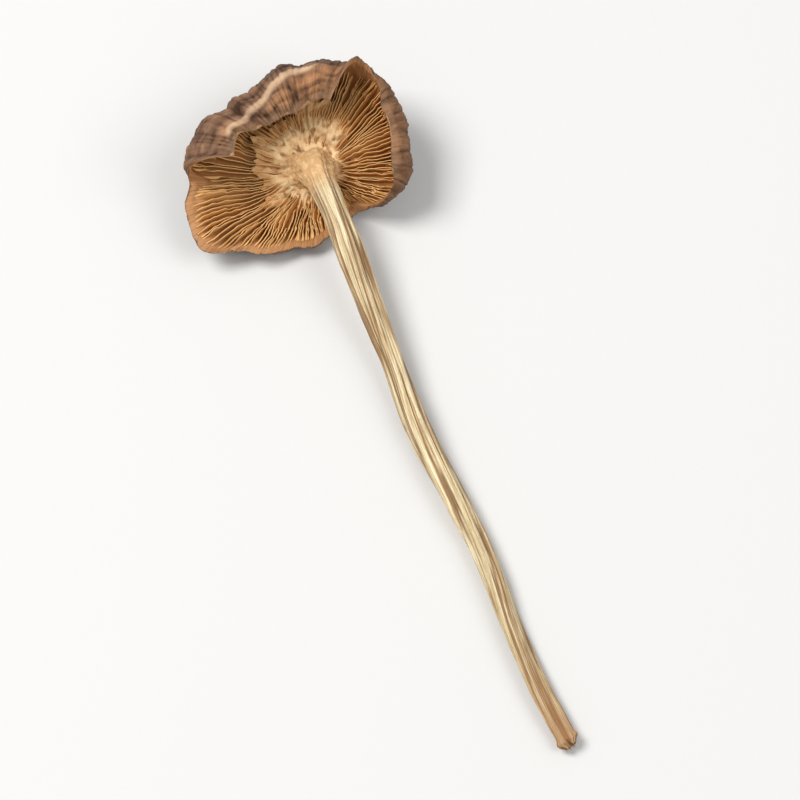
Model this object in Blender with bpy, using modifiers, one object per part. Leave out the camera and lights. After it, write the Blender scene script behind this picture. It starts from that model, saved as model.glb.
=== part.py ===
"""A dried tea tree mushroom that lies on a flat surface with its gill side up.

Metres, +Z up. The mushroom lies along Y, with the cap at +Y and the stem's foot at -Y.
The cap starts as a flat turned disc, the blank. A place on the blank has a share, 0 at
the stem and 1 at the margin, an angle round the cap, and a height above mid-flesh, with
the gills on the upper side. The blank is then domed, its margin is curled, and it is
tilted and set down. The veil starts on the same blank and follows the same curl.
"""

import math

import bmesh
import bpy
from mathutils import Matrix, Vector, noise

COLLECTION = "dried_tea_tree_mushroom"

# Cap: place and dome
CAP_SEAT = Vector((0.0014, 0.0280, 0.0066))
CAP_TILT = math.radians(12)
CAP_LEAN = math.radians(8)
CAP_DEPTH = 0.006
DOME_RISE = 35.0

# Cap: flesh
BLANK_RADIUS = 0.0135
FLESH_AT_STEM = 0.0018
FLESH_AT_MARGIN = 0.0008
MARGIN_STARTS = 0.68
MARGIN_NOSE = 1.02
NEAR_REACH = 0.0075
USUAL_SLOPE = math.radians(33)
LEAST_TURN = math.radians(3)

# Cap: gills and puckers
GILLS = 54
MARGIN_ROWS = 7
GILL_HEIGHT = 0.0007
GILLS_START = 0.24
GILLS_END = 0.92
RUFFLE = 0.00028
PUCKER = 0.0004
PUCKER_PITCH = 6

# Cap: outline and curl of the margin, one station for each turn of its outline
# (angle in degrees, reach from the stem, length of the margin, its last slope in degrees)
STATIONS = (
    (12, 0.0107, 0.0050, 155),
    (30, 0.0112, 0.0046, 110),
    (41, 0.0114, 0.0047, 76),
    (51, 0.0107, 0.0076, 220),
    (80, 0.0101, 0.0083, 232),
    (110, 0.0097, 0.0076, 228),
    (124, 0.0104, 0.0081, 228),
    (142, 0.0124, 0.0093, 225),
    (158, 0.0128, 0.0094, 222),
    (168, 0.0122, 0.0045, 55),
    (180, 0.0134, 0.0045, 32),
    (196, 0.0141, 0.0045, 20),
    (214, 0.0107, 0.0036, 35),
    (240, 0.0082, 0.0030, 50),
    (272, 0.0072, 0.0024, 35),
    (294, 0.0060, 0.0022, 12),
    (312, 0.0080, 0.0034, 100),
    (336, 0.0098, 0.0047, 155),
)

# Veil: a torn patch round the stem, one station for each turn of its edge
VEIL_INNER = 0.0029
VEIL_WIDTH = 0.002
VEIL_THICKNESS = 0.0006
VEIL_RAGGED = 0.0006
VEIL_STEPS = 54
# (angle in degrees, reach from the stem's middle)
VEIL_STATIONS = (
    (8, 0.0041),
    (45, 0.0062),
    (68, 0.0059),
    (98, 0.0058),
    (118, 0.0060),
    (158, 0.0047),
    (193, 0.0050),
    (228, 0.0046),
    (262, 0.0043),
    (308, 0.0039),
    (338, 0.0039),
)

# Stem
STEM_RADIUS = 0.0019
STEM_FLAT = 0.82
STEM_FLUTES = 5
STEM_FLUTE_DEPTH = 0.1
STEM_SIDES = 20
STEM_RINGS_A_SPAN = 6
STEM_BUMP = 0.00012
# (across, along and above the floor, from the cap's seat; thickness; twist in degrees)
STEM_ROUTE = (
    (0.00066, 0.0010, 0.00235, 1.02, 0),
    (0.0005, 0.0006, 0.0038, 0.88, 5),
    (0.0003, -0.0024, 0.0053, 0.76, 10),
    (0.0003, -0.0062, 0.0053, 0.70, 15),
    (0.0002, -0.0102, 0.0046, 0.78, 25),
    (0.0001, -0.0158, 0.0036, 0.70, 40),
    (0.0001, -0.0225, 0.0025, 0.65, 60),
    (-0.0001, -0.0305, 0.0016, 0.77, 80),
    (0.0004, -0.0385, 0.0013, 0.76, 100),
    (0.0008, -0.0460, 0.0011, 0.68, 125),
    (0.0004, -0.0535, 0.0010, 0.60, 150),
    (0.0004, -0.0600, 0.0010, 0.58, 170),
    (0.0009, -0.0662, 0.0010, 0.54, 190),
    (0.0010, -0.0668, 0.0010, 0.32, 195),
)

GAP = 0.00035


def clear_scene():
    for thing in list(bpy.data.objects):
        bpy.data.objects.remove(thing, do_unlink=True)


def new_collection(name):
    collection = bpy.data.collections.new(name)
    bpy.context.scene.collection.children.link(collection)
    return collection


def material(name, colour, roughness):
    made = bpy.data.materials.new(name)
    made.use_nodes = True
    shader = made.node_tree.nodes["Principled BSDF"]
    shader.inputs["Base Color"].default_value = (*colour, 1)
    shader.inputs["Roughness"].default_value = roughness
    shader.inputs["Metallic"].default_value = 0
    return made


def eased(value):
    """0 to 1 with a soft start and a soft end."""
    value = min(max(value, 0), 1)
    return value * value * (3 - 2 * value)


def between(stations, angle):
    """The values of a ring of stations at an angle, eased from station to station."""
    degrees = math.degrees(angle) % 360
    for index, station in enumerate(stations):
        before = stations[index - 1]
        width = (station[0] - before[0]) % 360
        past = (degrees - before[0]) % 360
        if past <= width:
            part = eased(past / width)
            return [low + (high - low) * part for low, high in zip(before[1:], station[1:])]
    raise ValueError("The stations leave a gap round the cap")


def margin_at(angle):
    """Reach, margin length and last slope at an angle."""
    reach, length, slope = between(STATIONS, angle)
    return reach, length, math.radians(slope)


def veil_reach(angle):
    """How far the torn patch reaches at an angle, with its nicks."""
    around = Vector((math.cos(angle), math.sin(angle), 0)) * 2.6
    return between(VEIL_STATIONS, angle)[0] + VEIL_RAGGED * noise.noise(around)


def section(share, angle):
    """How far out and up mid-flesh is at a share, and its slope there."""
    reach, length, last_slope = margin_at(angle)
    turn = last_slope - USUAL_SLOPE
    if abs(turn) < LEAST_TURN:
        turn = LEAST_TURN
    widest = math.sin(min(USUAL_SLOPE + turn, math.pi / 2)) - math.sin(USUAL_SLOPE)
    start = reach - length / turn * widest
    if share <= MARGIN_STARTS:
        part = share / MARGIN_STARTS
        out = NEAR_REACH * part + (start - NEAR_REACH) * part**2
        return out, DOME_RISE * out**2 - CAP_DEPTH, math.atan(2 * DOME_RISE * out)
    slope = math.atan(2 * DOME_RISE * start)
    turn = last_slope - slope
    if abs(turn) < LEAST_TURN:
        turn = LEAST_TURN
    now = slope + turn * (share - MARGIN_STARTS) / (1 - MARGIN_STARTS)
    bend = length / turn
    out = start + bend * (math.sin(now) - math.sin(slope))
    up = DOME_RISE * start**2 - CAP_DEPTH + bend * (math.cos(slope) - math.cos(now))
    return out, up, now


def ruffle(share, angle):
    """The slow waves that drying leaves in the cap, growing towards the margin."""
    waves = (
        math.sin(3 * angle + 0.6)
        + 0.7 * math.sin(5 * angle + 2.1)
        + 0.5 * math.sin(9 * angle + 4.0)
    )
    return RUFFLE * waves * share**2


def pucker(angle, share):
    """Uneven radial wrinkles of the skin, between about -1 and 1."""
    around = Vector((math.cos(angle), math.sin(angle), 0)) * PUCKER_PITCH
    return noise.noise(around + Vector((0, 0, share)))


def flesh(share):
    """Thickness of the cap's flesh without its gills."""
    return FLESH_AT_STEM + (FLESH_AT_MARGIN - FLESH_AT_STEM) * eased(share)


def gill_height(share):
    """Height of the gills above the flesh: none at the stem and at the margin's edge."""
    rise = eased((share - GILLS_START) / 0.2)
    fall = eased((GILLS_END - share) / 0.1)
    return GILL_HEIGHT * rise * fall


def seat_turn():
    return Matrix.Rotation(CAP_TILT, 3, "X") @ Matrix.Rotation(-CAP_LEAN, 3, "Y")


def on_cap(share, angle, height):
    """World place of a point on the curled, tilted cap."""
    out, up, slope = section(share, angle)
    height += ruffle(share, angle)
    out -= height * math.sin(slope)
    up += height * math.cos(slope)
    local = Vector((out * math.cos(angle), out * math.sin(angle), up))
    return CAP_SEAT + seat_turn() @ local


def rest_on_floor(mesh):
    """Press flat what would reach below the floor."""
    for vertex in mesh.vertices:
        vertex.co.z = max(vertex.co.z, 0)


def turned(name, profile, closed, steps):
    """The evaluated mesh of a profile in the XZ plane, turned about Z by a Screw."""
    mesh = bpy.data.meshes.new(name)
    edges = [(i, i + 1) for i in range(len(profile) - 1)]
    if closed:
        edges.append((len(profile) - 1, 0))
    mesh.from_pydata([(out, 0, up) for out, up in profile], edges, [])
    outline = bpy.data.objects.new(name, mesh)
    bpy.context.scene.collection.objects.link(outline)
    screw = outline.modifiers.new("turn", "SCREW")
    screw.axis = "Z"
    screw.steps = steps
    screw.render_steps = steps
    screw.use_merge_vertices = True
    screw.merge_threshold = 0.00002
    screw.use_smooth_shade = True
    return evaluated_mesh(outline)


def evaluated_mesh(source):
    """A plain mesh of an object as its modifiers or bevel leave it; the source goes."""
    graph = bpy.context.evaluated_depsgraph_get()
    mesh = bpy.data.meshes.new_from_object(source.evaluated_get(graph))
    bpy.data.objects.remove(source, do_unlink=True)
    return mesh


def place(name, mesh, finish, collection):
    mesh.materials.clear()
    mesh.materials.append(finish)
    mesh.shade_smooth()
    mesh.set_sharp_from_angle(angle=math.radians(50))
    made = bpy.data.objects.new(name, mesh)
    collection.objects.link(made)
    return made


def cap_profile():
    """Down the outer side: gill side outwards, round the margin, skin side inwards."""
    margin = 1 - MARGIN_STARTS
    gill_side = [0, 0.14, 0.22, 0.3, 0.38, 0.47, 0.58]
    rolled = [MARGIN_STARTS + margin * i / MARGIN_ROWS for i in range(MARGIN_ROWS + 1)]
    gill_side += rolled
    skin_side = rolled[::-1]
    skin_side += [0.52, 0.36, 0.2, 0]
    points = [(BLANK_RADIUS * share, flesh(share) / 2) for share in gill_side]
    points.append((BLANK_RADIUS * MARGIN_NOSE, 0))
    points += [(BLANK_RADIUS * share, -flesh(share) / 2) for share in skin_side]
    return points


def make_cap(collection):
    mesh = turned("cap", cap_profile(), False, 2 * GILLS)
    for vertex in mesh.vertices:
        share = math.hypot(vertex.co.x, vertex.co.y) / BLANK_RADIUS
        angle = math.atan2(vertex.co.y, vertex.co.x)
        height = vertex.co.z
        column = round(angle / math.pi * GILLS)
        if height > 0 and column % 2 == 0:
            height += gill_height(share)
        elif height < 0:
            height += PUCKER * share * pucker(angle, share)
        vertex.co = on_cap(share, angle, height)
    rest_on_floor(mesh)
    return place("cap", mesh, material("cap_skin", (0.17, 0.07, 0.025), 0.6), collection)


def veil_profile():
    """The patch's section on the blank, an even width all round."""
    outer = VEIL_INNER + VEIL_WIDTH
    steps = [VEIL_INNER + VEIL_WIDTH * i / 3 for i in range(3)]
    points = [(place, VEIL_THICKNESS) for place in steps]
    points += [(outer, VEIL_THICKNESS * 0.6), (outer, 0)]
    return points + [(place, 0) for place in reversed(steps)]


def make_veil(collection):
    """The torn ring, dried down on the inner ends of the gills."""
    mesh = turned("veil", veil_profile(), True, VEIL_STEPS)
    for vertex in mesh.vertices:
        angle = math.atan2(vertex.co.y, vertex.co.x)
        blank_place = math.hypot(vertex.co.x, vertex.co.y)
        outwards = (blank_place - VEIL_INNER) / VEIL_WIDTH
        out = VEIL_INNER + (veil_reach(angle) - VEIL_INNER) * outwards
        share = out / NEAR_REACH * MARGIN_STARTS
        height = flesh(share) / 2 + gill_height(share) + GAP + vertex.co.z
        vertex.co = on_cap(share, angle, height)
    return place("veil", mesh, material("veil_skin", (0.55, 0.36, 0.18), 0.85), collection)


def flute_outline():
    """The stem's section: a flattened round with long shallow flutes."""
    curve = bpy.data.curves.new("stem_section", "CURVE")
    curve.dimensions = "2D"
    spline = curve.splines.new("POLY")
    spline.points.add(STEM_SIDES - 1)
    for index, point in enumerate(spline.points):
        angle = 2 * math.pi * index / STEM_SIDES
        radius = STEM_RADIUS * (1 + STEM_FLUTE_DEPTH * math.cos(STEM_FLUTES * angle))
        across = radius * math.cos(angle)
        through = radius * math.sin(angle) * STEM_FLAT
        point.co = (across, through, 0, 1)
    spline.use_cyclic_u = True
    outline = bpy.data.objects.new("stem_section", curve)
    bpy.context.scene.collection.objects.link(outline)
    return outline


def stem_curve(outline):
    curve = bpy.data.curves.new("stem_line", "CURVE")
    curve.dimensions = "3D"
    curve.resolution_u = STEM_RINGS_A_SPAN
    curve.bevel_mode = "OBJECT"
    curve.bevel_object = outline
    curve.use_fill_caps = True
    curve.twist_mode = "MINIMUM"
    spline = curve.splines.new("BEZIER")
    spline.bezier_points.add(len(STEM_ROUTE) - 1)
    for point, (across, along, above, thickness, twist) in zip(
        spline.bezier_points, STEM_ROUTE
    ):
        point.co = (CAP_SEAT.x + across, CAP_SEAT.y + along, above)
        point.handle_left_type = "AUTO"
        point.handle_right_type = "AUTO"
        point.radius = thickness
        point.tilt = math.radians(twist)
    line = bpy.data.objects.new("stem_line", curve)
    bpy.context.scene.collection.objects.link(line)
    return line


def weld(mesh, within):
    work = bmesh.new()
    work.from_mesh(mesh)
    bmesh.ops.remove_doubles(work, verts=work.verts, dist=within)
    bmesh.ops.recalc_face_normals(work, faces=work.faces)
    work.to_mesh(mesh)
    work.free()


def make_stem(collection):
    outline = flute_outline()
    mesh = evaluated_mesh(stem_curve(outline))
    bpy.data.objects.remove(outline, do_unlink=True)
    weld(mesh, 0.00001)
    for vertex in mesh.vertices:
        vertex.co += STEM_BUMP * noise.noise_vector(vertex.co * 300)
    rest_on_floor(mesh)
    return place("stem", mesh, material("stem_skin", (0.62, 0.46, 0.27), 0.75), collection)


def main():
    clear_scene()
    collection = new_collection(COLLECTION)
    make_cap(collection)
    make_veil(collection)
    make_stem(collection)


main()
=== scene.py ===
"""Looks of a dried tea tree mushroom: curled cap, crowded gills, torn ring, fluted stem.

Metres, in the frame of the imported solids. A place on the cap has a share, 0 at the stem
and 1 at the margin, an angle round the cap, and a height above mid-flesh, gills upwards.
Each piece of the cap is modelled flat in those three and then curled by one function.
"""

import math

import bpy
import numpy as np
from mathutils import Matrix, Vector, noise


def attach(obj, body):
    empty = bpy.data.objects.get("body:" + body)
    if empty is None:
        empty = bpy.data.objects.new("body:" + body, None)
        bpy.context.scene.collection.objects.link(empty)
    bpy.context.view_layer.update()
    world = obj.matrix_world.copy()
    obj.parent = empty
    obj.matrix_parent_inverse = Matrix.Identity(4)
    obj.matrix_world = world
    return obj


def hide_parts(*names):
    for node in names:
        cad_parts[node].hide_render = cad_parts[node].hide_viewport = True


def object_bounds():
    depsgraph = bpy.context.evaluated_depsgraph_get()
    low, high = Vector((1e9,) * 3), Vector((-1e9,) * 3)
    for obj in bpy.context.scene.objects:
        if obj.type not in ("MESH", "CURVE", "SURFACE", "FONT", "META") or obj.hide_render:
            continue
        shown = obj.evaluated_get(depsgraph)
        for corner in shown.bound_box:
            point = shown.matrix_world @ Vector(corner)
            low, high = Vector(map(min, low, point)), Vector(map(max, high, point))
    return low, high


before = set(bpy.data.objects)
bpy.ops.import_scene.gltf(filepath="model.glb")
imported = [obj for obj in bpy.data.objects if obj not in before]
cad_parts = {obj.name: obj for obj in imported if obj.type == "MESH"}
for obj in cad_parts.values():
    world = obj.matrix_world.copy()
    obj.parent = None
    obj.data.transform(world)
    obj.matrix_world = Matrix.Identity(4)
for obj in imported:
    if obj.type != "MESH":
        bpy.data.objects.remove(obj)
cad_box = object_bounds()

MM = 0.001

# Cap: place, dome, flesh and gills, the same as in the solids
CAP_SEAT = Vector((0.0014, 0.0280, 0.0066))
CAP_TILT = math.radians(12)
CAP_LEAN = math.radians(8)
CAP_DEPTH = 0.006
DOME_RISE = 35.0
FLESH_AT_STEM = 0.0018
FLESH_AT_MARGIN = 0.0008
MARGIN_STARTS = 0.68
NEAR_REACH = 0.0075
USUAL_SLOPE = math.radians(33)
LEAST_TURN = math.radians(3)
GILL_HEIGHT = 0.0007
GILLS_START = 0.24
GILLS_END = 0.92
RUFFLE = 0.00028
PUCKER = 0.0004
PUCKER_PITCH = 6

# Cap: outline and curl of the margin
# (angle in degrees, reach from the stem, length of the margin, its last slope in degrees)
STATIONS = (
    (12, 0.0107, 0.0050, 155),
    (30, 0.0112, 0.0046, 110),
    (41, 0.0114, 0.0047, 76),
    (51, 0.0107, 0.0076, 220),
    (80, 0.0101, 0.0083, 232),
    (110, 0.0097, 0.0076, 228),
    (124, 0.0104, 0.0081, 228),
    (142, 0.0124, 0.0093, 225),
    (158, 0.0128, 0.0094, 222),
    (168, 0.0122, 0.0045, 55),
    (180, 0.0134, 0.0045, 32),
    (196, 0.0141, 0.0045, 20),
    (214, 0.0107, 0.0036, 35),
    (240, 0.0082, 0.0030, 50),
    (272, 0.0072, 0.0024, 35),
    (294, 0.0060, 0.0022, 12),
    (312, 0.0080, 0.0034, 100),
    (336, 0.0098, 0.0047, 155),
)

# Cap: fineness of the shell, and its rounded edge as a share of the way to the margin
CAP_COLUMNS = 510
CAP_ROWS = 172
ROW_BUNCHING = 1.3
NOSE = 0.035
NOSE_REACH = 0.02

# Cap: fine relief of the skin, and of the flesh between the gills
CREASE_DEPTH = 0.16 * MM
WRINKLE_DEPTH = 0.07 * MM
NETWORK_DEPTH = 0.10 * MM
PORE_DEPTH = 0.02 * MM
FLESH_RELIEF = 0.1 * MM
POLE_SMOOTH = 0.12

# Cap: where the margin is rolled over the gills, its bands, sharp ridge with a painted
# highlight, and rusty side
ROLLED_FROM = math.radians(140)
ROLLED_OVER = math.radians(50)
ROLLED_SKIN_FROM = 0.6
ROLLED_SKIN_OVER = 0.1
BAND_DEPTH = 0.15 * MM
RIDGE_FROM = math.radians(76)
RIDGE_TO = math.radians(140)
RIDGE_STARTS = 0.872
RIDGE_SLANT = 0.081
RIDGE_WIDTH = 0.026
RIDGE_HEIGHT = 0.32 * MM
RIDGE_WANDER = 0.012
RUST_TO = math.radians(112)
RUST_OVER = math.radians(30)

# Gills: how many, and the form of one blade
FULL_GILLS = 66
BLADE_CUTS = 30
BLADE_TIERS = 3
BLADE_THICKNESS = 0.17 * MM
BLADE_TAPER = 0.6
BLADE_HEIGHT = 0.9 * MM
BLADE_ROOT = 0.12 * MM
BLADE_WANDER = 0.10 * MM
BLADE_CRINKLE = 0.16 * MM
BLADE_LEAN = 0.25 * MM
CLUMP_SHIFT = 0.65 * MM
CROWDED_WITHIN = 5 * MM
LEAST_SPREAD = 0.45
LEAST_OUT = 1.5 * MM

# Gills: where they start and end, as shares, longer towards the open side, and painted light
# that makes them paler there
FULL_START = 0.16
MIDDLE_START = 0.36
SHORT_START = 0.62
BLADE_END = 0.88
END_JITTER = 0.035
TIP_ANGLE = math.radians(195)
TIP_REACH = 0.095
# Painted light: how much paler the gills on the open side are, and darker on the far side
OPEN_SIDE_PAINTED_LIGHT = 0.22

# Gills: how much they are shortened where the margin goes over from open to rolled
TURN_LOOK = math.radians(5)
TURN_MOST = math.radians(90)
TURN_SHORTENS = 0.12

# Veil: fineness, thickness, lumps, pits and the collar that climbs the stem
VEIL_AROUND = 260
VEIL_ACROSS = 44
VEIL_INNER = 1.2 * MM
VEIL_RAGGED = 0.7 * MM
VEIL_THICKNESS = 0.55 * MM
VEIL_THIN_FROM = 0.55
VEIL_THINNER = 0.75
VEIL_LUMPS = 0.3 * MM
VEIL_PITS = 0.28 * MM
VEIL_COLLAR = 0.9 * MM
COLLAR_REACH = 2.7 * MM
COLLAR_OVER = 1.2 * MM
VEIL_LIFT = 0.1 * MM
VEIL_SINK = 0.75 * MM

# Deep fold above the torn patch, under the rolled margin, darkened with painted shade
FOLD_OFFSET = 0.35 * MM
FOLD_WIDTH = 0.4 * MM
FOLD_FROM = math.radians(40)
FOLD_TO = math.radians(165)
FOLD_DEPTH = 0.45 * MM
FOLD_LOWERS = 0.8

# Veil: outline
# (angle in degrees, reach from the stem's middle)
VEIL_STATIONS = (
    (8, 0.0041),
    (45, 0.0062),
    (68, 0.0059),
    (98, 0.0058),
    (118, 0.0060),
    (158, 0.0047),
    (193, 0.0050),
    (228, 0.0046),
    (262, 0.0043),
    (308, 0.0039),
    (338, 0.0039),
)

# Stem: section and route, the same as in the solids
STEM_RADIUS = 1.9 * MM
STEM_FLAT = 0.82
STEM_FLUTES = 5
STEM_FLUTE_DEPTH = 0.1
# (across and along from the cap's seat, above the floor; thickness; twist in degrees)
STEM_ROUTE = (
    (0.00066, 0.0010, 0.00235, 1.02, 0),
    (0.0005, 0.0006, 0.0038, 0.88, 5),
    (0.0003, -0.0024, 0.0053, 0.76, 10),
    (0.0003, -0.0062, 0.0053, 0.70, 15),
    (0.0002, -0.0102, 0.0046, 0.78, 25),
    (0.0001, -0.0158, 0.0036, 0.70, 40),
    (0.0001, -0.0225, 0.0025, 0.65, 60),
    (-0.0001, -0.0305, 0.0016, 0.77, 80),
    (0.0004, -0.0385, 0.0013, 0.76, 100),
    (0.0008, -0.0460, 0.0011, 0.68, 125),
    (0.0004, -0.0535, 0.0010, 0.60, 150),
    (0.0004, -0.0600, 0.0010, 0.58, 170),
    (0.0009, -0.0662, 0.0010, 0.54, 190),
    (0.0010, -0.0668, 0.0010, 0.32, 195),
)

# Stem: fineness, fine relief, crusted top and torn foot
STEM_QUARTER = 26
STEM_RINGS_A_SPAN = 42
STEM_SWELL = 0.22 * MM
STEM_KNOTS = 0.07 * MM
STEM_GROOVE = 0.14 * MM
STEM_FIBRE = 0.05 * MM
APEX_FLARE = 0.42
APEX_LENGTH = 5.2 * MM
APEX_CRUST = 0.3 * MM
FOOT_LENGTH = 2.6 * MM
FOOT_TEAR = 0.5 * MM
FOOT_LUMPS = 0.5
# (size of each inner ring beside the last one, how far inwards it goes in mm)
END_RINGS = ((0.8, 0.05), (0.7, 0.22), (0.5, 0.2))

# Camera: the photograph looks down at about 65 degrees, from far off
LOOK_AZIMUTH = math.radians(-22)
LOOK_ELEVATION = math.radians(65)
LOOK_DISTANCE = 0.55
FRAME_WIDTH = 0.080
SENSOR = 36.0

# Light: (azimuth and elevation in degrees, distance, size, power)
KEY_LIGHT = (-125, 58, 0.9, 0.4, 8.0)
FILL_LIGHT = (50, 50, 1.0, 0.7, 4.5)
ROOM_LIGHT = (0.96, 0.98, 1.0)
ROOM_STRENGTH = 0.45
FLOOR_SIZE = 3


def deselect():
    bpy.ops.object.select_all(action="DESELECT")


def edit(piece, select_all=True):
    bpy.context.view_layer.objects.active = piece
    bpy.ops.object.mode_set(mode="EDIT")
    if select_all:
        bpy.ops.mesh.select_all(action="SELECT")


def done_editing():
    bpy.ops.object.mode_set(mode="OBJECT")


def pick_nothing(piece, kind):
    """Leave nothing of the mesh selected, ready to pick vertices or edges in code."""
    bpy.context.tool_settings.mesh_select_mode = (kind == "vertices", kind == "edges", False)
    edit(piece)
    bpy.ops.mesh.select_all(action="DESELECT")
    done_editing()


def points_of(mesh):
    points = np.empty(len(mesh.vertices) * 3)
    mesh.vertices.foreach_get("co", points)
    return points.reshape(-1, 3)


def move_points(mesh, points):
    mesh.vertices.foreach_set("co", np.asarray(points, float).ravel())
    mesh.update()


def keep_numbers(mesh, **named):
    """Store numbers or vectors for each vertex, for the material to read."""
    for name, values in named.items():
        values = np.asarray(values, float)
        kind, entry = ("FLOAT", "value") if values.ndim == 1 else ("FLOAT_VECTOR", "vector")
        layer = mesh.attributes.new(name, kind, "POINT")
        layer.data.foreach_set(entry, values.ravel())


def field(points, pitch, shift=0.0):
    """Smooth noise, between about -1 and 1, at each point; the shift keeps two apart."""
    scaled = np.asarray(points) / pitch + shift
    return np.array([noise.noise(point) for point in scaled.tolist()])


def creases(values, width):
    """1 along the zero lines of a noise, falling to 0 at the width beside them."""
    return np.clip(1 - np.abs(values) / width, 0, 1) ** 1.5


def eased(value):
    value = np.clip(value, 0, 1)
    return value * value * (3 - 2 * value)


def around(angle, turns, share, along):
    """A vector that goes round with the angle without a seam, and along with the share."""
    return np.column_stack((np.cos(angle) * turns, np.sin(angle) * turns, share * along))


def ripple(angle, turns, share, along, shift=0.0):
    """Smooth noise that changes round the middle and along from it, at two paces."""
    return field(around(angle, turns, share, along), 1, shift)


def spread(angle, reach):
    """Flat places, each at its angle and its reach from the middle."""
    return around(angle, 1, angle * 0, 1) * reach[:, None]


def between(stations, angle):
    """The values of a ring of stations at each angle, eased from station to station."""
    stations = np.array(stations, float)
    turn = np.zeros(stations.shape[1])
    turn[0] = 360
    stations = np.vstack((stations[-1] - turn, stations, stations[0] + turn))
    degrees = np.degrees(angle) % 360
    index = np.searchsorted(stations[:, 0], degrees, side="right")
    index = np.clip(index, 1, len(stations) - 1)
    low = stations[index - 1]
    high = stations[index]
    part = eased((degrees - low[:, 0]) / (high[:, 0] - low[:, 0]))
    return (low[:, 1:] + (high - low)[:, 1:] * part[:, None]).T


def margin_at(angle):
    """Reach, margin length and last slope at each angle."""
    reach, length, slope = between(STATIONS, angle)
    return reach, length, np.radians(slope)


def rolled_at(angle):
    """1 where the margin is rolled right over, falling to 0 where it lies open."""
    return eased((margin_at(angle)[2] - ROLLED_FROM) / ROLLED_OVER)


def rolled_skin(share, angle):
    """1 on the outer skin that the rolled margin shows over the gills, falling to 0."""
    return rolled_at(angle) * eased((share - ROLLED_SKIN_FROM) / ROLLED_SKIN_OVER)


def turning_at(angle):
    """1 where the margin goes over from open to rolled in a few degrees, falling to 0."""
    change = margin_at(angle + TURN_LOOK)[2] - margin_at(angle - TURN_LOOK)[2]
    return eased(np.abs(change) / TURN_MOST)


def ridge_line(angle):
    """The share at which the sharp fold of the rolled margin runs, and how much is there."""
    along = (angle - RIDGE_FROM) / (RIDGE_TO - RIDGE_FROM)
    wander = RIDGE_WANDER * ripple(angle, 5, angle * 0, 1, 96.3)
    within = eased((along + 0.4) / 0.4) * eased((1.25 - along) / 0.3)
    return RIDGE_STARTS + RIDGE_SLANT * along + wander, within


def ridge_at(share, angle):
    """1 along the sharp fold that runs slantwise over the rolled margin, fading to 0; also
    the mask of the painted highlight on it.
    """
    middle, within = ridge_line(angle)
    return within * np.clip(1 - np.abs(share - middle) / RIDGE_WIDTH, 0, 1)


def rust_at(share, angle):
    """1 on the redder side of that fold, between it and the margin's edge."""
    past = eased((share - ridge_line(angle)[0]) / (2 * RIDGE_WIDTH))
    return past * eased((RUST_TO - angle) / RUST_OVER) * rolled_at(angle)


def veil_edge(angle):
    """How far the torn patch reaches at each angle, without its shreds."""
    return between(VEIL_STATIONS, angle)[0]


def fold_at(share, angle):
    """1 along the deep fold above the torn patch, under the rolled margin, fading to 0; also
    the mask of the painted shade along it.
    """
    place = share / MARGIN_STARTS * NEAR_REACH
    middle = (FOLD_FROM + FOLD_TO) / 2
    half = (FOLD_TO - FOLD_FROM) / 2
    within = eased((1 - np.abs(angle - middle) / half) * 2.5)
    past = (place - veil_edge(angle) - FOLD_OFFSET) / FOLD_WIDTH
    return within * np.exp(-(past**2))


def section(share, angle):
    """How far out and up mid-flesh is, and its slope, at each share and angle."""
    reach, length, last_slope = margin_at(angle)
    turn = last_slope - USUAL_SLOPE
    turn = np.where(np.abs(turn) < LEAST_TURN, LEAST_TURN, turn)
    widest = np.sin(np.minimum(USUAL_SLOPE + turn, math.pi / 2)) - math.sin(USUAL_SLOPE)
    start = reach - length / turn * widest
    part = share / MARGIN_STARTS
    dome_out = NEAR_REACH * part + (start - NEAR_REACH) * part**2
    slope = np.arctan(2 * DOME_RISE * start)
    turn = last_slope - slope
    turn = np.where(np.abs(turn) < LEAST_TURN, LEAST_TURN, turn)
    now = slope + turn * (share - MARGIN_STARTS) / (1 - MARGIN_STARTS)
    bend = length / turn
    margin_out = start + bend * (np.sin(now) - np.sin(slope))
    margin_up = DOME_RISE * start**2 - CAP_DEPTH + bend * (np.cos(slope) - np.cos(now))
    inner = share <= MARGIN_STARTS
    out = np.where(inner, dome_out, margin_out)
    up = np.where(inner, DOME_RISE * dome_out**2 - CAP_DEPTH, margin_up)
    return out, up, np.where(inner, np.arctan(2 * DOME_RISE * dome_out), now)


def ruffle(share, angle):
    waves = np.sin(3 * angle + 0.6) + 0.7 * np.sin(5 * angle + 2.1)
    waves += 0.5 * np.sin(9 * angle + 4.0)
    return RUFFLE * waves * share**2


def flesh(share):
    return FLESH_AT_STEM + (FLESH_AT_MARGIN - FLESH_AT_STEM) * eased(share)


def gill_height(share):
    rise = eased((share - GILLS_START) / 0.2)
    fall = eased((GILLS_END - share) / 0.1)
    return GILL_HEIGHT * rise * fall


def on_cap(share, angle, height):
    """World places of points on the curled, tilted cap, never below the floor."""
    out, up, slope = section(share, angle)
    height = height + ruffle(share, angle)
    out = out - height * np.sin(slope)
    up = up + height * np.cos(slope)
    turn = Matrix.Rotation(CAP_TILT, 3, "X") @ Matrix.Rotation(-CAP_LEAN, 3, "Y")
    flat = np.column_stack((out * np.cos(angle), out * np.sin(angle), up))
    world = flat @ np.array(turn).T + np.array(CAP_SEAT)
    world[:, 2] = np.maximum(world[:, 2], 0)
    return world


def straight_tube(sides, rows):
    """An open upright tube from -1 to 1, cut across into an even number of rows."""
    deselect()
    bpy.ops.mesh.primitive_cylinder_add(
        vertices=sides, radius=1, depth=2, end_fill_type="NOTHING"
    )
    tube = bpy.context.object
    cut_across(tube, 2, 1)
    cut_across(tube, 2, rows // 2 - 1)
    return tube


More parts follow.
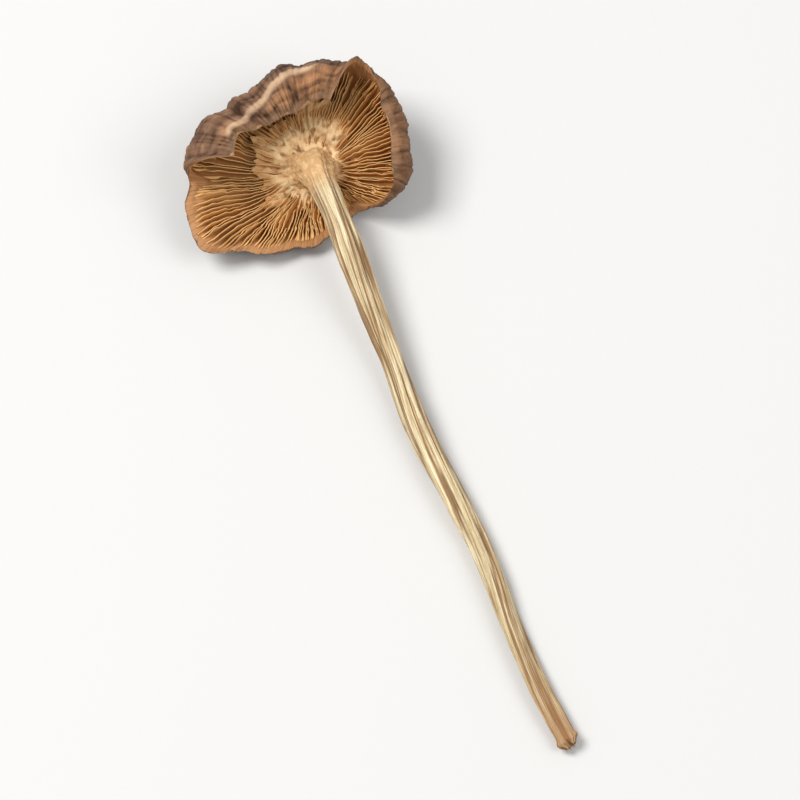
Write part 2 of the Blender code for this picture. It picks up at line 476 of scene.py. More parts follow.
def cut_across(piece, axis, cuts):
    """Cut the edges that run along one axis, and the faces between them, evenly."""
    pick_nothing(piece, "edges")
    mesh = piece.data
    for edge in mesh.edges:
        low, high = (mesh.vertices[index].co[axis] for index in edge.vertices)
        edge.select = abs(high - low) > 0.5
    edit(piece, select_all=False)
    bpy.ops.mesh.subdivide(number_cuts=cuts)
    done_editing()


def merge_and_face_out(piece):
    edit(piece)
    bpy.ops.mesh.remove_doubles(threshold=0.000001)
    bpy.ops.mesh.normals_make_consistent(inside=False)
    done_editing()
    bpy.ops.object.shade_smooth()


def finish_piece(piece, name, material, slot_name, *nodes):
    """Name a piece, give it its material and let it ride on the one body."""
    piece.name = name
    piece.data.name = name
    piece.data.materials.clear()
    piece.data.materials.append(material)
    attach(piece, "root")
    if nodes:
        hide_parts(*nodes)


def cracked_skin(flat, share):
    """1 in a fine net of cracks of two sizes, falling to 0 between them."""
    warp = 0.5 * np.column_stack((field(flat, 0.9, 81.0), field(flat, 0.9, 85.0), share))
    wide = creases(field(flat + warp, 1.5, 61.4), 0.16)
    return np.maximum(wide, 0.7 * creases(field(flat + warp, 0.8, 66.2), 0.2))


def skin_relief(share, angle):
    """The outer skin's height above its even surface, and how deep in a crease it is, which
    also sets the painted shade in the creases.
    """
    flat = spread(angle, share * 12)
    grown = eased(share / 0.5)
    rolled = rolled_skin(share, angle)
    puckers = ripple(angle, PUCKER_PITCH, share, 1)
    folds = creases(ripple(angle, 13, share, 2.2, 11.3), 0.35)
    lines = creases(ripple(angle, 34, share, 4.0, 27.1), 0.3) * (1 - 0.6 * rolled)
    bands = creases(ripple(angle, 2.4, share, 20, 91.2), 0.3)
    crease = CREASE_DEPTH * grown * folds + WRINKLE_DEPTH * (0.3 + 0.7 * grown) * lines
    crease += NETWORK_DEPTH * cracked_skin(flat, share) + BAND_DEPTH * bands * rolled
    crease += CREASE_DEPTH * ridge_at(share + 2 * RIDGE_WIDTH, angle)
    relief = PORE_DEPTH * field(flat, 0.3, 5.9) - PUCKER * share * puckers - crease
    relief += RIDGE_HEIGHT * ridge_at(share, angle)
    closing = eased(share / POLE_SMOOTH)
    return relief * closing, crease * closing / CREASE_DEPTH


def flesh_relief(share, angle):
    """The height of the flesh between the gills above its even surface."""
    grain = ripple(angle, 22, share, 3.0, 3.3) * FLESH_RELIEF * eased(share / 0.3)
    return grain - FOLD_DEPTH * fold_at(share, angle)


def make_cap(material):
    """Skin and flesh in one closed shell; the gills stand on it as their own piece."""
    cap = straight_tube(CAP_COLUMNS, CAP_ROWS)
    straight = points_of(cap.data)
    angle = np.arctan2(straight[:, 1], straight[:, 0])
    side = np.sign(straight[:, 2]) * np.abs(straight[:, 2]) ** ROW_BUNCHING
    gill_side = side > 0
    share = 1 - np.abs(side)
    rounding = np.clip(np.abs(side) / NOSE, 0, 1)
    half = flesh(share) / 2 * np.sin(rounding * math.pi / 2)
    relief, crease = skin_relief(share, angle)
    inside = half + flesh_relief(share, angle) * rounding
    height = np.where(gill_side, inside, -half - relief)
    nose = NOSE_REACH * (1 - rounding) ** 2
    move_points(cap.data, on_cap(share + nose, angle, height))
    keep_numbers(
        cap.data,
        grain=around(angle, 1, share, 1),
        gill_side=gill_side,
        share=share,
        # crease: how deep in a crease, also the mask of the painted shade in the creases
        crease=crease,
        # fold: the mask of the painted shade along the deep fold
        fold=fold_at(share, angle) * gill_side,
        rolled=rolled_skin(share, angle),
        # ridge: the mask of the painted highlight along the rolled margin's ridge
        ridge=ridge_at(share, angle),
        rust=rust_at(share, angle),
    )
    merge_and_face_out(cap)
    finish_piece(cap, "cap_skin_and_flesh", material, "cap_skin", "cap")


def straight_blade():
    """One gill, lying along +X from 0 to 1, a unit thick and a unit high, thin on top."""
    deselect()
    bpy.ops.mesh.primitive_cube_add(size=1, location=(0.5, 0, 0.5))
    blade = bpy.context.object
    bpy.ops.object.transform_apply(location=True, rotation=False, scale=False)
    cut_across(blade, 0, BLADE_CUTS)
    cut_across(blade, 2, BLADE_TIERS - 1)
    points = points_of(blade.data)
    points[:, 1] *= 1 - BLADE_TAPER * points[:, 2] ** 2
    move_points(blade.data, points)
    return blade


def gill_starts():
    """The angle and the first share of every gill: full ones, and short ones between."""
    step = 2 * math.pi / FULL_GILLS
    for index in range(FULL_GILLS):
        jitter = 0.2 * step * noise.noise((index * 3.7, 0.5, 0.5))
        yield index * step + jitter, FULL_START
        start = MIDDLE_START + 0.06 * noise.noise((index * 1.9, 4.5, 0.5))
        yield (index + 0.5) * step - jitter, start
        if index % 3:
            start = SHORT_START + 0.08 * noise.noise((index * 2.3, 7.5, 0.5))
            yield (index + 0.25) * step, start


def gill_end(number, angle):
    """The share that a gill reaches, less where the margin goes over to the roll."""
    end = BLADE_END + END_JITTER * noise.noise((number * 1.3, 2.5, 6.5))
    end += TIP_REACH * max(math.cos(angle - TIP_ANGLE), 0) ** 3
    return end - TURN_SHORTENS * turning_at(np.array([angle]))[0]


def gill_sway(path, run, tier, share, place):
    """How far a gill strays sideways: its wander, crinkles, lean and clumping."""
    wander = BLADE_WANDER * field(path, 1, 2.2) * eased(run * 4)
    crinkle = BLADE_CRINKLE * field(path * (5, 1, 1), 1, 9.1) * tier
    lean = BLADE_LEAN * field(path * (1, 1, 0), 1, 14.6) * tier
    clump = CLUMP_SHIFT * ripple(place, 4.2, share, 2.4, 17.3)
    return wander + crinkle + lean + clump * (0.35 + 0.65 * tier) * eased(run * 3)


def gill_edge(path, run, share, place):
    """A gill's height beside its usual one: low at both ends, and worn in places."""
    ends = eased(run / 0.25) * eased((1 - run) / 0.16)
    worn = 0.82 + 0.3 * field(path * (6, 1, 0), 1, 21.4)
    worn += 0.35 * ripple(place, 6.0, share, 3.0, 33.1)
    return (0.12 + 0.88 * ends) * worn


def shape_gill(points, number, angle, start):
    """Set one straight blade on the cap; its points' places, shares and folds."""
    run, across, tier = points.T
    share = start + (gill_end(number, angle) - start) * run
    place = np.full(len(share), angle)
    path = np.column_stack((share * 4.0, np.full(len(share), number * 0.37), tier * 0.4))
    sideways = across * BLADE_THICKNESS + gill_sway(path, run, tier, share, place)
    out = np.maximum(section(share, place)[0], LEAST_OUT)
    sideways *= np.clip(out / CROWDED_WITHIN, LEAST_SPREAD, 1)
    fold = fold_at(share, place)
    base = flesh(share) / 2 - BLADE_ROOT - FOLD_DEPTH * fold
    height = BLADE_HEIGHT * gill_edge(path, run, share, place)
    height *= 1 - FOLD_LOWERS * fold
    world = on_cap(share, angle + sideways / out, base + (height + BLADE_ROOT) * tier)
    return world, share, fold


def gill_tone(number, angle):
    """How pale one gill is: by chance, with its neighbours, and by painted light that makes
    the open side paler and the far side darker.
    """
    bunch = (math.cos(angle) * 5, math.sin(angle) * 5, 8.5)
    tone = 0.5 + 0.3 * noise.noise((number * 5.1, 1.5, 2.5)) + 0.6 * noise.noise(bunch)
    # Painted light: gills on the open side paler, on the far side darker
    return tone + OPEN_SIDE_PAINTED_LIGHT * math.cos(angle - TIP_ANGLE)


def copy_gill(blade, number, angle, start):
    """One gill: a copy of the straight blade, with its own mesh, bent to its place."""
    gill = blade.copy()
    gill.data = blade.data.copy()
    bpy.context.collection.objects.link(gill)
    straight = points_of(blade.data)
    world, share, fold = shape_gill(straight, number, angle, start)
    move_points(gill.data, world)
    everywhere = np.ones(len(world))
    keep_numbers(
        gill.data,
        edge=straight[:, 2],
        # tone: chance paleness plus the painted light on the open side
        tone=everywhere * gill_tone(number, angle),
        share=share,
        # fold: the mask of the painted shade along the deep fold
        fold=fold,
        grain=around(everywhere * angle, 1, share, 1),
    )
    return gill


def make_gills(material):
    """The crowded gills: one blade, copied and bent to each place, then joined."""
    blade = straight_blade()
    copies = [copy_gill(blade, number, *at) for number, at in enumerate(gill_starts())]
    bpy.data.objects.remove(blade, do_unlink=True)
    deselect()
    for gill in copies:
        gill.select_set(True)
    bpy.context.view_layer.objects.active = copies[0]
    bpy.ops.object.join()
    gills = bpy.context.object
    edit(gills)
    bpy.ops.mesh.normals_make_consistent(inside=False)
    done_editing()
    bpy.ops.object.shade_smooth_by_angle(angle=math.radians(60))
    finish_piece(gills, "gills", material, "cap_skin")


def veil_reach(angle):
    """How far the torn patch reaches at each angle, with its shreds."""
    reach = veil_edge(angle)
    for turns, size in ((2.6, 0.8), (6.0, 0.6), (15.0, 0.45), (32.0, 0.3)):
        reach += VEIL_RAGGED * size * ripple(angle, turns, angle * 0, 1, 6.4 + turns)
    return reach


def veil_bed(flat, place, share, outwards):
    """The height that the ring lies at: sunk between the gills, and up the stem."""
    bed = flesh(share) / 2 + gill_height(share) * 1.15 + VEIL_LIFT
    sunken = eased((outwards + 0.25 * field(flat, 1.3 * MM, 44.0) - 0.5) / 0.5)
    bed -= VEIL_SINK * sunken * (1 + 0.5 * field(flat, 0.5 * MM, 52.0))
    return bed + VEIL_COLLAR * eased((COLLAR_REACH - place) / COLLAR_OVER)


def veil_lumps(flat):
    """Coarse, middling and fine lumps of the dried membrane."""
    lumps = field(flat, 1.1 * MM, 1.7) + 0.6 * field(flat, 0.45 * MM, 12.9)
    return lumps + 0.35 * field(flat, 0.2 * MM, 21.3)


def make_veil(material):
    """The torn ring: a flattened, ragged, pitted collar that climbs a little up the stem."""
    deselect()
    bpy.ops.mesh.primitive_torus_add(
        major_segments=VEIL_AROUND,
        minor_segments=VEIL_ACROSS,
        major_radius=1,
        minor_radius=0.5,
    )
    veil = bpy.context.object
    ring = points_of(veil.data)
    angle = np.arctan2(ring[:, 1], ring[:, 0])
    outwards = np.hypot(ring[:, 0], ring[:, 1]) - 0.5
    above = ring[:, 2] / 0.5
    top = np.clip(above, 0, 1)
    place = VEIL_INNER + (veil_reach(angle) - VEIL_INNER) * outwards
    share = place / NEAR_REACH * MARGIN_STARTS
    flat = spread(angle, place)
    pits = creases(field(flat, 0.85 * MM, 31.0) + 0.25, 0.3)
    thin = 1 - VEIL_THINNER * eased((outwards - VEIL_THIN_FROM) / (1 - VEIL_THIN_FROM))
    height = veil_bed(flat, place, share, outwards)
    height += VEIL_THICKNESS * thin * (0.5 + 0.5 * above)
    height += top * thin * (VEIL_LUMPS * veil_lumps(flat) - VEIL_PITS * pits)
    move_points(veil.data, on_cap(share, angle, height))
    grain = around(angle, 1, outwards, 1)
    # pits: the mask of the painted shade in the pits
    keep_numbers(veil.data, grain=grain, pits=pits * top, outwards=outwards)
    merge_and_face_out(veil)
    finish_piece(veil, "veil_ring", material, "veil_skin", "veil")


def stem_section():
    """The even oval that runs along the stem."""
    deselect()
    bpy.ops.curve.primitive_bezier_circle_add(radius=STEM_RADIUS)
    outline = bpy.context.object
    outline.data.resolution_u = STEM_QUARTER
    outline.scale = (1, STEM_FLAT, 1)
    bpy.ops.object.transform_apply(location=False, rotation=False, scale=True)
    return outline


def stem_line():
    """The bent middle line of the stem, with its thickness and twist at each point."""
    curve = bpy.data.curves.new("stem_line", "CURVE")
    curve.dimensions = "3D"
    curve.resolution_u = STEM_RINGS_A_SPAN
    curve.twist_mode = "MINIMUM"
    spline = curve.splines.new("BEZIER")
    spline.radius_interpolation = "EASE"
    spline.bezier_points.add(len(STEM_ROUTE) - 1)
    for point, (across, along, above, thickness, twist) in zip(
        spline.bezier_points, STEM_ROUTE
    ):
        point.co = (CAP_SEAT.x + across, CAP_SEAT.y + along, above)
        point.handle_left_type = "AUTO"
        point.handle_right_type = "AUTO"
        point.radius = thickness
        point.tilt = math.radians(twist)
    line = bpy.data.objects.new("stem_line", curve)
    bpy.context.collection.objects.link(line)
    return line


def close_end(stem, ring, inwards):
    """Close one end ring by drawing it in, ring by ring, and merging the last one."""
    pick_nothing(stem, "vertices")
    for index in ring:
        stem.data.vertices[index].select = True
    edit(stem, select_all=False)
    for size, depth in END_RINGS:
        bpy.ops.mesh.extrude_region_move()
        bpy.ops.transform.resize(value=(size, size, size))
        bpy.ops.transform.translate(value=tuple(inwards * depth * MM))
    bpy.ops.mesh.merge(type="CENTER")
    done_editing()


def stem_tube():
    """The even bent tube: the oval carried along the middle line, made a mesh."""
    outline = stem_section()
    stem = stem_line()
    stem.data.bevel_mode = "OBJECT"
    stem.data.bevel_object = outline
    deselect()
    stem.select_set(True)
    bpy.context.view_layer.objects.active = stem
    bpy.ops.object.convert(target="MESH")
    bpy.data.objects.remove(outline, do_unlink=True)
    return bpy.context.object


def torn_foot(turn, length):
    """How much each point near the torn end swells, and how far it is torn onwards."""
    near = np.clip(1 - (length.max() - length) / FOOT_LENGTH, 0, 1) ** 2
    lumps = ripple(turn, 1.3, length / MM, 0.8, 83.1)
    lumps += 0.6 * ripple(turn, 4.0, length / MM, 1.3, 87.4)
    tears = ripple(turn, 2.5, turn * 0, 1, 51.2)
    tears += 0.8 * ripple(turn, 7.5, turn * 0, 1, 55.2)
    tears += 0.35 * ripple(turn, 15.0, turn * 0, 1, 63.7)
    return FOOT_LUMPS * near * lumps, FOOT_TEAR * near * tears


def make_stem(material):
    """The stalk: an even tube, given its flutes, grooves, flared top and torn foot."""
    stem = stem_tube()
    mesh = stem.data
    points = points_of(mesh)
    sides = 4 * STEM_QUARTER
    rings = len(points) // sides
    middle = points.reshape(rings, sides, 3).mean(axis=1)
    steps = np.linalg.norm(np.diff(middle, axis=0), axis=1)
    length = np.concatenate(([0], np.cumsum(steps))).repeat(sides)
    turn = np.tile(np.linspace(0, 2 * math.pi, sides, endpoint=False), rings)
    relief = stem_relief(turn, length)
    foot_lumps, foot_tears = torn_foot(turn, length)
    swell = 1 + STEM_FLUTE_DEPTH * np.cos(STEM_FLUTES * turn) + foot_lumps
    swell += APEX_FLARE * np.clip(1 - length / APEX_LENGTH, 0, 1) ** 1.6
    swell += relief / STEM_RADIUS
    centre = middle.repeat(sides, axis=0)
    onward = Vector(middle[-1] - middle[-4]).normalized()
    back = Vector(middle[0] - middle[3]).normalized()
    moved = centre + (points - centre) * swell[:, None] + np.outer(foot_tears, onward)
    moved[:, 2] = np.maximum(moved[:, 2], 0)
    move_points(mesh, moved)
    keep_numbers(
        mesh,
        grain=around(turn, 1, length / MM, 1),
        # groove: how deep in a groove, also the mask of the painted shade in the grooves
        groove=relief / STEM_GROOVE,
        apex=np.clip(1 - length / (1.5 * APEX_LENGTH), 0, 1),
        along=length / length.max(),
    )
    close_end(stem, range(len(points) - sides, len(points)), -onward)
    close_end(stem, range(sides), -back)
    merge_and_face_out(stem)
    finish_piece(stem, "stem_stalk", material, "stem_skin", "stem")


def stem_relief(turn, length):
    """Height of the stem's skin above its even flutes: long grooves, fibres and knots."""
    length = length / MM
    relief = STEM_SWELL * ripple(turn, 1.0, length, 0.05, 3.1)
    relief += STEM_KNOTS * ripple(turn, 1.5, length, 0.45, 40.4)
    relief -= STEM_GROOVE * 2.0 * creases(ripple(turn, 1.9, length, 0.040, 7.7), 0.20)
    relief -= STEM_GROOVE * 0.9 * creases(ripple(turn, 5.5, length, 0.09, 15.2), 0.22)
    relief += STEM_FIBRE * ripple(turn, 18.0, length, 0.30, 23.8)
    crust = ripple(turn, 5.0, length, 2.6, 71.5) + 0.6 * ripple(turn, 11.0, length, 5.5, 77.5)
    apex = np.clip(1 - length / (1.3 * APEX_LENGTH / MM), 0, 1)
    return relief * (1 - 0.8 * apex) + APEX_CRUST * apex * crust


class Value:
    """A socket of a material; an expression on values adds its Math nodes."""

    def __init__(self, finish, socket):
        self.finish = finish
        self.socket = socket

    def maths(self, operation, *values):
        return self.finish.node(
            "ShaderNodeMath", {"operation": operation}, dict(enumerate(values))
        )

    def __add__(self, other):
        return self.maths("ADD", self, other)

    __radd__ = __add__

    def __mul__(self, other):
        return self.maths("MULTIPLY", self, other)

    __rmul__ = __mul__

    def __sub__(self, other):
        return self.maths("SUBTRACT", self, other)

    def __rsub__(self, other):
        return self.maths("SUBTRACT", other, self)


class Finish:
    """One material: its Principled shader and the calls that add nodes before it."""

    def __init__(self, name):
        self.material = bpy.data.materials.new(name)
        self.material.use_nodes = True
        self.tree = self.material.node_tree
        self.shader = next(n for n in self.tree.nodes if n.type == "BSDF_PRINCIPLED")

    def put(self, socket, value):
        if isinstance(value, Value):
            self.tree.links.new(value.socket, socket)
        elif hasattr(socket.default_value, "__len__") and len(socket.default_value) == 4:
            socket.default_value = (*value, 1)
        else:
            socket.default_value = value

    def node(self, kind, settings=None, inputs=None, output=0):
        """Add a node: its settings first, then the values or links of its sockets."""
        made = self.tree.nodes.new(kind)
        for setting, value in (settings or {}).items():
            if setting == "stops":
                set_stops(made.color_ramp, value)
            else:
                setattr(made, setting, value)
        for socket, value in (inputs or {}).items():
            self.put(made.inputs[socket], value)
        return Value(self, made.outputs[output])

    def attribute(self, name, output="Fac"):
        return self.node("ShaderNodeAttribute", {"attribute_name": name}, output=output)

    def stretched(self, vector, scale):
        return self.node(
            "ShaderNodeVectorMath", {"operation": "MULTIPLY"}, {0: vector, 1: scale}
        )

    def grain(self, scale, detail=3, roughness=0.5):
        """Noise that follows the piece, by its own grain vector."""
        vector = self.stretched(self.attribute("grain", "Vector"), scale)
        inputs = {"Vector": vector, "Scale": 1, "Detail": detail, "Roughness": roughness}
        return self.node("ShaderNodeTexNoise", {}, inputs)

    def speckle(self, scale, detail=3, roughness=0.5):
        """Noise in the object's own space, with the scale in cells a metre."""
        place = self.node("ShaderNodeTexCoord", {}, {}, "Object")
        inputs = {"Vector": place, "Scale": scale, "Detail": detail, "Roughness": roughness}
        return self.node("ShaderNodeTexNoise", {}, inputs)

    def smooth(self, value, low, high):
        """0 below low, 1 above high, and soft between."""
        inputs = {"Value": value, "From Min": low, "From Max": high}
        return self.node("ShaderNodeMapRange", {"interpolation_type": "SMOOTHSTEP"}, inputs)

    def mix(self, factor, low, high):
        settings = {"data_type": "RGBA", "clamp_factor": True}
        return self.node("ShaderNodeMix", settings, {0: factor, 6: low, 7: high}, 2)

    def ramp(self, value, stops):
        return self.node("ShaderNodeValToRGB", {"stops": stops}, {0: value})

    def bump(self, height, distance, strength=1.0):
        inputs = {"Height": height, "Distance": distance, "Strength": strength}
        return self.node("ShaderNodeBump", {}, inputs)

    def surface(self, colour, roughness, normal, specular=0.35):
        self.put(self.shader.inputs["Base Color"], colour)
        self.put(self.shader.inputs["Roughness"], roughness)
        self.put(self.shader.inputs["Normal"], normal)
        self.put(self.shader.inputs["Specular IOR Level"], specular)
        return self.material


def set_stops(ramp, stops):
    while len(ramp.elements) > len(stops):
        ramp.elements.remove(ramp.elements[-1])
    while len(ramp.elements) < len(stops):
        ramp.elements.new(1)
    for element, (position, colour) in zip(ramp.elements, stops):
        element.position = position
        element.color = (*colour, 1)


# SKIN_DARK is the skin's dark tone, and also the painted shade in creases and along the deep
# fold
SKIN_DARK = (0.045, 0.018, 0.008)
SKIN_BROWN = (0.155, 0.068, 0.030)
SKIN_TAN = (0.30, 0.165, 0.085)
SKIN_GREY = (0.190, 0.092, 0.044)
SKIN_PINK = (0.345, 0.195, 0.120)
SKIN_RUST = (0.46, 0.205, 0.080)
FLESH_BROWN = (0.34, 0.155, 0.052)
MARGIN_TAN = (0.47, 0.235, 0.105)
# MARGIN_PALE is a pale margin tone, and also the painted highlight on the ridge and the
# rolled edge
MARGIN_PALE = (0.68, 0.46, 0.285)
# GILL_DEEP is the flesh's dark tone, and also the painted shade at the gills' feet
GILL_DEEP = (0.26, 0.105, 0.025)
GILL_ORANGE = (0.56, 0.265, 0.072)
GILL_PALE = (0.78, 0.48, 0.19)
VEIL_PALE = (0.80, 0.57, 0.31)
VEIL_TAN = (0.58, 0.34, 0.15)
# painted shade in the veil's pits
VEIL_PIT_SHADE = (0.24, 0.10, 0.032)
STEM_CREAM = (0.82, 0.72, 0.48)
STEM_TAN = (0.56, 0.405, 0.21)
# STEM_DEEP is the stem's dark fibre tone, and also the painted shade in its grooves
STEM_DEEP = (0.23, 0.115, 0.045)
STEM_STAIN = (0.34, 0.15, 0.055)
FLOOR_PALE = (0.62, 0.61, 0.595)
FLOOR_CLOUD = (0.57, 0.56, 0.545)


def dome_colour(finish, share, streaks, mottles, specks):
    """Mottled brown skin, drawn into streaks and greyer outwards, dark at the middle, with
    painted shade in its creases and a painted highlight on the rolled margin's ridge.
    """
    rolled = finish.attribute("rolled")
    bands = finish.grain((2.4, 2.4, 24), 4, 0.6)
    drawn = finish.smooth(share, 0.2, 0.8) * 0.45
    drawn_streaks = streaks * (1 - rolled * 0.8) + bands * rolled * 0.8
    tone = mottles * (1 - drawn) + drawn_streaks * drawn
    skin = finish.ramp(tone, [(0.34, SKIN_DARK), (0.49, SKIN_BROWN), (0.66, SKIN_TAN)])
    skin = finish.mix(finish.smooth(share, 0.5, 0.9) * 0.65, skin, SKIN_GREY)
    drift = share + finish.grain((3, 3, 4), 3) * 0.10 - 0.05
    dusk = finish.smooth(drift, 0.62, 0.74) * finish.smooth(drift, 0.92, 0.80)
    dusk = dusk * (1 - rolled * 0.65)
    skin = finish.mix(dusk * (0.2 + drawn_streaks * 0.6), skin, SKIN_DARK)
    skin = rolled_colour(finish, skin, rolled, bands, mottles)
    skin = finish.mix(finish.smooth(drift, 0.89, 0.98) * 0.1, skin, MARGIN_TAN)
    eye = finish.smooth(share + mottles * 0.2, 0.55, 0.1) * 0.55
    skin = finish.mix(eye, skin, SKIN_DARK)
    skin = finish.mix(finish.smooth(specks, 0.58, 0.74) * 0.3, skin, SKIN_TAN)
    # Painted shade: darker in the creases and in the groove beside the ridge
    skin = finish.mix(finish.attribute("crease") * 0.5, skin, SKIN_DARK)
    # Painted highlight: pale along the rolled margin's ridge
    ridge = finish.smooth(finish.attribute("ridge"), 0.25, 0.85)
    return finish.mix(ridge * (0.15 + bands * 0.95), skin, MARGIN_PALE)


def rolled_colour(finish, skin, rolled, bands, mottles):
    """The pinker, banded skin of the rolled margin, rusty on the ridge's outer side."""
    skin = finish.mix(rolled * (0.2 + mottles * 0.5), skin, SKIN_PINK)
    skin = finish.mix(finish.attribute("rust") * (0.25 + bands * 0.8), skin, SKIN_RUST)
    skin = finish.mix(finish.smooth(bands, 0.50, 0.62) * rolled * 0.5, skin, MARGIN_TAN)
    return finish.mix(finish.smooth(bands, 0.48, 0.36) * rolled * 0.6, skin, SKIN_DARK)


def flesh_colour(finish, share, streaks, rays):
    """Orange-brown flesh between the gills, with a rayed tan band beyond their ends, and
    painted shade along the deep fold.
    """
    flesh_tone = finish.ramp(streaks, [(0.35, GILL_DEEP), (0.65, FLESH_BROWN)])
    band = finish.smooth(share + finish.grain((3, 3, 4), 3) * 0.08, 0.87, 0.93)
    flesh_tone = finish.mix(band * (0.35 + rays * 0.8), flesh_tone, MARGIN_TAN)
    flesh_tone = finish.mix(finish.smooth(rays, 0.58, 0.40) * 0.45, flesh_tone, GILL_DEEP)
    # Painted shade along the deep fold
    return finish.mix(finish.attribute("fold") * 0.45, flesh_tone, SKIN_DARK)


def cap_material():
    """Leathery brown skin outside, orange-brown flesh between the gills, a pale edge that is
    partly a painted highlight on the rolled margin.
    """
    finish = Finish("cap_skin")
    share = finish.attribute("share")
    streaks = finish.grain((26, 26, 3), 5, 0.6)
    rays = finish.grain((70, 70, 2), 3, 0.5)
    mottles = finish.speckle(480, 5, 0.62)
    specks = finish.speckle(2600, 4, 0.6)
    outside = dome_colour(finish, share, streaks, mottles, specks)
    inside = flesh_colour(finish, share, streaks, rays)
    colour = finish.mix(finish.attribute("gill_side"), outside, inside)
    # Pale margin edge; the stronger part on the rolled margin is a painted highlight
    edge = finish.smooth(share + rays * 0.01, 0.970, 0.996)
    edge = edge * (0.03 + finish.attribute("rolled") * 0.25)
    colour = finish.mix(edge, colour, MARGIN_PALE)
    normal = finish.bump(streaks * 0.5 + rays * 0.4 + specks * 0.7, 0.00016, 0.9)
    return finish.surface(colour, 0.5 + mottles * 0.35, normal, 0.22)


def gill_material():
    """Thin orange-brown gills, paler towards their top edges, with painted shade at their
    feet and along the deep fold.
    """
    finish = Finish("gills")
    edge = finish.attribute("edge")
    tone = finish.attribute("tone")
    share = finish.attribute("share")
    streaks = finish.grain((60, 60, 9), 4, 0.6)
    specks = finish.speckle(3500, 3, 0.6)
    # Painted shade: darker towards each gill's foot
    body = finish.mix(finish.smooth(edge, 0.0, 0.7), GILL_DEEP, GILL_ORANGE)
    # tone carries chance paleness and the painted light on the open side
    body = finish.mix(finish.smooth(tone + streaks * 0.6, 0.55, 1.2) * 0.5, body, GILL_PALE)
    # Paler towards the top edges, speckled
    pale = finish.smooth(edge, 0.72, 1.0) * (0.25 + 0.5 * specks)
    body = finish.mix(pale, body, GILL_PALE)
    body = finish.mix(finish.smooth(share, 0.35, 0.15) * 0.5, body, VEIL_TAN)
    # Painted shade along the deep fold
    body = finish.mix(finish.attribute("fold") * 0.35, body, SKIN_DARK)
    normal = finish.bump(streaks + specks * 0.5, 0.00008, 0.7)
    return finish.surface(body, 0.5 + streaks * 0.3, normal)


def veil_material():
    """Dry pale membrane, with painted shade in its pits, and browner towards its torn edge.
    """
    finish = Finish("veil")
    pits = finish.attribute("pits")
    outwards = finish.attribute("outwards")
    lumps = finish.speckle(1400, 4, 0.55)
    specks = finish.speckle(5200, 3, 0.6)
    base = finish.ramp(lumps, [(0.34, VEIL_TAN), (0.57, VEIL_PALE)])
    torn = finish.smooth(outwards + lumps * 0.5, 0.85, 1.2)
    base = finish.mix(torn * 0.55, base, GILL_ORANGE)
    # Painted shade in the pits
    base = finish.mix(finish.smooth(pits, 0.15, 0.9) * 0.85, base, VEIL_PIT_SHADE)
    base = finish.mix(finish.smooth(specks, 0.58, 0.74) * 0.35, base, VEIL_TAN)
    normal = finish.bump(lumps + specks * 0.6, 0.0002, 0.8)
    return finish.surface(base, 0.75, normal, 0.2)


def stem_material():
    """Cream, fibrous and fluted, with painted shade in its grooves, and stained towards the
    foot.
    """
    finish = Finish("stem_skin")
    fibres = finish.grain((9, 9, 0.16), 5, 0.62)
    hairs = finish.grain((30, 30, 0.5), 3, 0.6)
    long_streaks = finish.grain((2.2, 2.2, 0.05), 3, 0.5)
    specks = finish.speckle(3000, 4, 0.6)
    base = finish.ramp(fibres, [(0.32, STEM_DEEP), (0.45, STEM_TAN), (0.58, STEM_CREAM)])
    base = finish.mix(finish.smooth(long_streaks, 0.48, 0.68) * 0.65, base, STEM_TAN)
    base = finish.mix(finish.smooth(hairs, 0.44, 0.30) * 0.55, base, STEM_DEEP)
    # Painted shade: darker in the deep grooves
    groove = finish.smooth(finish.attribute("groove"), -0.3, -1.6)
    base = finish.mix(groove * 0.85, base, STEM_DEEP)
    foot = finish.smooth(finish.attribute("along") + long_streaks * 0.25, 0.93, 1.16)
    base = finish.mix(foot * 0.75, base, STEM_STAIN)
    base = finish.mix(finish.smooth(specks, 0.62, 0.76) * 0.35, base, STEM_STAIN)
    lumps = finish.speckle(1400, 4, 0.55)
    crust = finish.ramp(lumps, [(0.45, VEIL_TAN), (0.78, VEIL_PALE)])
    apex = finish.smooth(finish.attribute("apex") + lumps * 0.3, 0.30, 0.65)
    base = finish.mix(apex, base, crust)
    normal = finish.bump(fibres + hairs * 0.5 + specks * 0.35, 0.00016, 0.9)
    return finish.surface(base, 0.62 + fibres * 0.25, normal, 0.22)


def floor_material():
    finish = Finish("pale_floor")
    cloud = finish.speckle(9, 2)
    colour = finish.mix(cloud * 0.1, FLOOR_PALE, FLOOR_CLOUD)
    grain = finish.speckle(900, 3)
    return finish.surface(colour, 0.75, finish.bump(grain, 0.00005, 0.3))


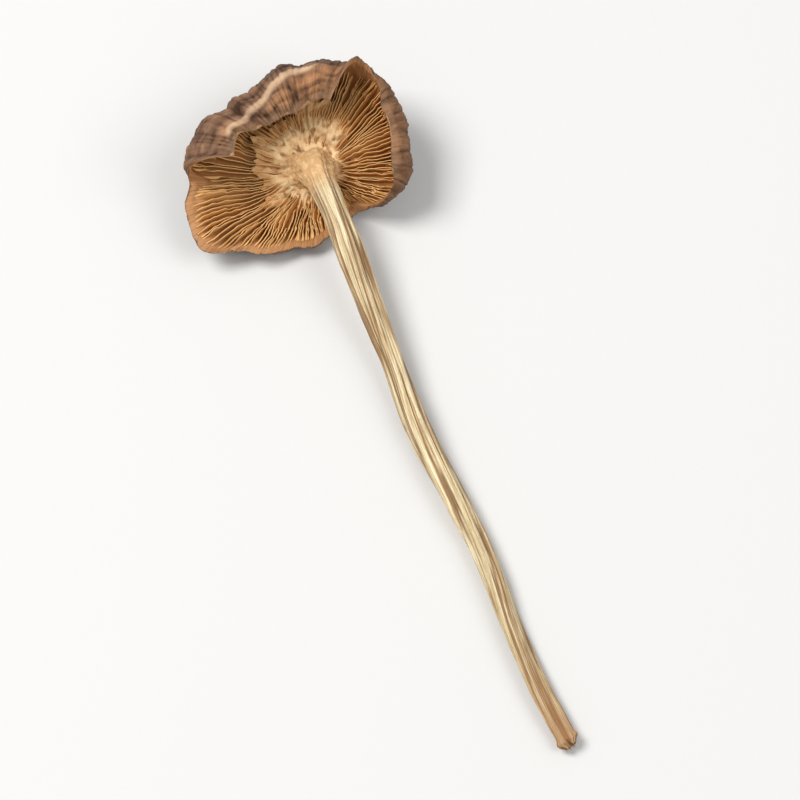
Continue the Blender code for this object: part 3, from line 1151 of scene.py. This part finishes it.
def make_floor():
    deselect()
    bpy.ops.mesh.primitive_plane_add(size=FLOOR_SIZE, location=(0, 0, 0))
    floor = bpy.context.object
    floor.name = "pale_floor"
    floor.data.materials.append(floor_material())


def facing(back):
    """Turn whose Z points back, away from what is looked at or lit, and X level."""
    right = Vector((0, 0, 1)).cross(back).normalized()
    return Matrix((right, back.cross(right), back)).transposed().to_4x4()


def direction(azimuth, elevation):
    flat = math.cos(elevation)
    x = math.sin(azimuth) * flat
    y = -math.cos(azimuth) * flat
    return Vector((x, y, math.sin(elevation)))


def make_camera():
    low, high = (Vector(corner) for corner in cad_box)
    back = direction(LOOK_AZIMUTH, LOOK_ELEVATION)
    camera = bpy.data.objects.new("camera", bpy.data.cameras.new("camera"))
    camera.data.sensor_width = SENSOR
    camera.data.lens = SENSOR * LOOK_DISTANCE / FRAME_WIDTH
    camera.data.clip_start = 0.01
    aim = (low + high) / 2
    camera.matrix_world = Matrix.Translation(aim + back * LOOK_DISTANCE) @ facing(back)
    bpy.context.collection.objects.link(camera)
    bpy.context.scene.camera = camera


def make_light(name, azimuth, elevation, distance, size, power):
    back = direction(math.radians(azimuth), math.radians(elevation))
    lamp = bpy.data.lights.new(name, "AREA")
    lamp.size = size
    lamp.energy = power
    light = bpy.data.objects.new(name, lamp)
    light.matrix_world = Matrix.Translation(back * distance) @ facing(back)
    bpy.context.collection.objects.link(light)


def make_room_light():
    world = bpy.data.worlds.new("soft_room")
    world.use_nodes = True
    shade = next(n for n in world.node_tree.nodes if n.type == "BACKGROUND")
    shade.inputs["Color"].default_value = (*ROOM_LIGHT, 1)
    shade.inputs["Strength"].default_value = ROOM_STRENGTH
    bpy.context.scene.world = world


def make_studio():
    make_floor()
    make_camera()
    make_room_light()
    make_light("key", *KEY_LIGHT)
    make_light("fill", *FILL_LIGHT)
    bpy.context.scene.view_settings.view_transform = "Standard"


def main():
    make_studio()
    make_cap(cap_material())
    make_gills(gill_material())
    make_veil(veil_material())
    make_stem(stem_material())


main()
